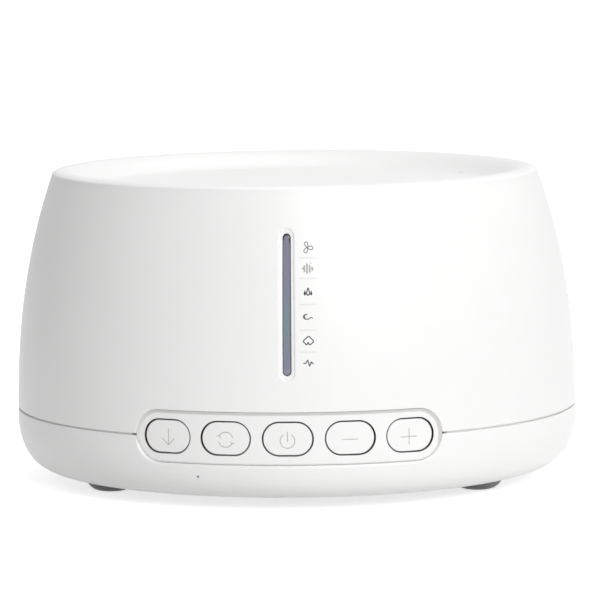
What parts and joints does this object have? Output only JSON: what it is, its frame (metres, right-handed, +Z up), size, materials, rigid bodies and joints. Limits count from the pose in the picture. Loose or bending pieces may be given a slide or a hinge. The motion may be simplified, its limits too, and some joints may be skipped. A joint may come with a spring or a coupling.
{
  "type": "white noise sound machine",
  "caption": "Round white tabletop sound machine with a dished top, a light bar, curved push keys on the front, a downward loudspeaker and rubber feet.",
  "frame": {"origin": "centre of the object at the level of the feet's soles, where it rests on a table", "axes": "+Z up, -Y out of the front with the keys and the light bar, +X to the right seen from the front"},
  "size_m": [0.14, 0.1399, 0.0776],
  "materials": {
    "shell": "smooth satin white ABS",
    "key_cap": "smooth satin white ABS with engraved signs",
    "window": "smoked slate-grey clear plastic, gloss",
    "foot_rubber": "matt dark grey silicone rubber",
    "black_plastic": "fine-grained black plastic",
    "carrier_plastic": "dark grey moulded plastic",
    "film": "amber polyimide film",
    "board": "green circuit board with solder mask",
    "chip": "black moulded chip cases",
    "socket": "ivory nylon",
    "lamp": "clear epoxy over yellow phosphor",
    "steel": "zinc-plated steel",
    "can": "drawn aluminium cans",
    "ferrite": "grey-black sintered ferrite",
    "copper": "enamelled copper wire",
    "paper": "black pressed paper",
    "cloth": "resin-dipped cotton",
    "mesh": "black woven dust mesh",
    "soft_black": "black foam rubber",
    "phenolic": "brown phenolic strip with tinned lugs",
    "wire": "red insulated wire"
  },
  "bodies": {
    "housing": {"upper_housing": "shell", "lower_housing": "shell", "switch_bodies": "steel", "key_flex": "film", "key_carrier": "carrier_plastic", "key_carrier_screws": "steel", "microphone": "steel", "microphone_boot": "soft_black", "light_bar": "window", "light_baffle": "black_plastic", "led_board": "board", "leds": "lamp", "led_ribbon": "film", "led_screws": "steel", "main_board": "board", "board_chips": "chip", "capacitors": "can", "inductor": "ferrite", "board_sockets": "socket", "main_board_screws": "steel", "inlet_body": "black_plastic", "inlet_pin": "steel", "speaker_frame": "carrier_plastic", "speaker_gasket": "soft_black", "speaker_surround": "soft_black", "spider": "cloth", "top_plate": "steel", "magnet": "ferrite", "yoke": "steel", "speaker_terminals": "phenolic", "speaker_wires": "wire", "speaker_screws": "steel", "dust_mesh": "mesh", "foot_front_left": "foot_rubber", "foot_front_right": "foot_rubber", "foot_rear_left": "foot_rubber", "foot_rear_right": "foot_rubber", "housing_screws": "steel"},
    "arrow_key": {"button_arrow": "key_cap", "plunger_arrow": "black_plastic"},
    "loop_key": {"button_loop": "key_cap", "plunger_loop": "black_plastic"},
    "power_key": {"button_power": "key_cap", "plunger_power": "black_plastic"},
    "minus_key": {"button_minus": "key_cap", "plunger_minus": "black_plastic"},
    "plus_key": {"button_plus": "key_cap", "plunger_plus": "black_plastic"},
    "cone": {"speaker_cone": "paper", "dust_cap": "paper", "coil_former": "film", "voice_coil": "copper"}
  },
  "joints": [
    {"name": "arrow_key_press", "type": "slide", "parent": "housing", "child": "arrow_key", "axis": [0.4175, 0.9087, 0], "range_m": [0, 0.0005], "stiffness_N_per_m": 2000, "springref_m": -0.0004},
    {"name": "loop_key_press", "type": "slide", "parent": "housing", "child": "loop_key", "axis": [0.2137, 0.9769, 0], "range_m": [0, 0.0005], "stiffness_N_per_m": 2000, "springref_m": -0.0004},
    {"name": "power_key_press", "type": "slide", "parent": "housing", "child": "power_key", "axis": [0, 1, 0], "range_m": [0, 0.0005], "stiffness_N_per_m": 2000, "springref_m": -0.0004},
    {"name": "minus_key_press", "type": "slide", "parent": "housing", "child": "minus_key", "axis": [-0.2137, 0.9769, 0], "range_m": [0, 0.0005], "stiffness_N_per_m": 2000, "springref_m": -0.0004},
    {"name": "plus_key_press", "type": "slide", "parent": "housing", "child": "plus_key", "axis": [-0.4175, 0.9087, 0], "range_m": [0, 0.0005], "stiffness_N_per_m": 2000, "springref_m": -0.0004},
    {"name": "cone_stroke", "type": "slide", "parent": "housing", "child": "cone", "axis": [0, 0, 1], "range_m": [-0.001, 0.001], "stiffness_N_per_m": 2500, "deforming": ["speaker_surround", "spider"]}
  ]
}
